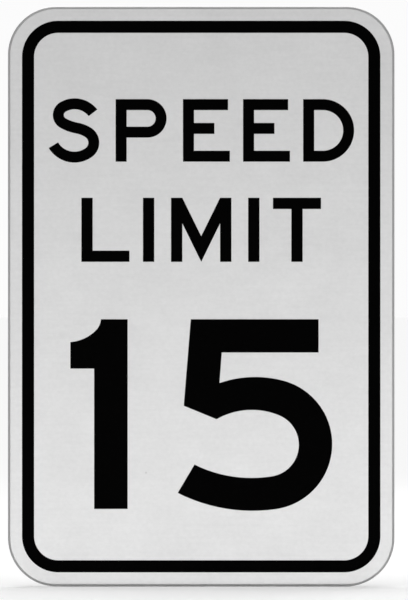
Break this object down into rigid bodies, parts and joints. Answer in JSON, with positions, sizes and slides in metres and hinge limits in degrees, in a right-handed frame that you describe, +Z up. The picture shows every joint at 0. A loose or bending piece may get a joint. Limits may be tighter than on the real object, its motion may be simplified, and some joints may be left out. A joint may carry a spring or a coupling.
{
  "type": "speed limit sign",
  "caption": "Flat portrait road sign panel with rounded corners: aluminium blank, white reflective face, black film border and speed limit legend.",
  "frame": {"origin": "centre of the blank's flat back face", "axes": "+Z up the sign, the printed face looks along -Y, +X to the reader's right, +Y out of the back"},
  "size_m": [0.3048, 0.0019, 0.4572],
  "materials": {
    "bare_aluminium": "mill finish sheet with a light rolling grain",
    "white_sheeting": "silver-white retroreflective sheeting, satin, very fine mottle",
    "black_film": "opaque black film, soft gloss"
  },
  "bodies": {
    "root": {"sign_blank": "bare_aluminium", "reflective_sheeting": "white_sheeting", "border_film": "black_film", "letter_s": "black_film", "letter_p": "black_film", "letter_e_first": "black_film", "letter_e_second": "black_film", "letter_d": "black_film", "letter_l": "black_film", "letter_i_first": "black_film", "letter_m": "black_film", "letter_i_second": "black_film", "letter_t": "black_film", "numeral_one": "black_film", "numeral_five": "black_film"}
  },
  "joints": []
}
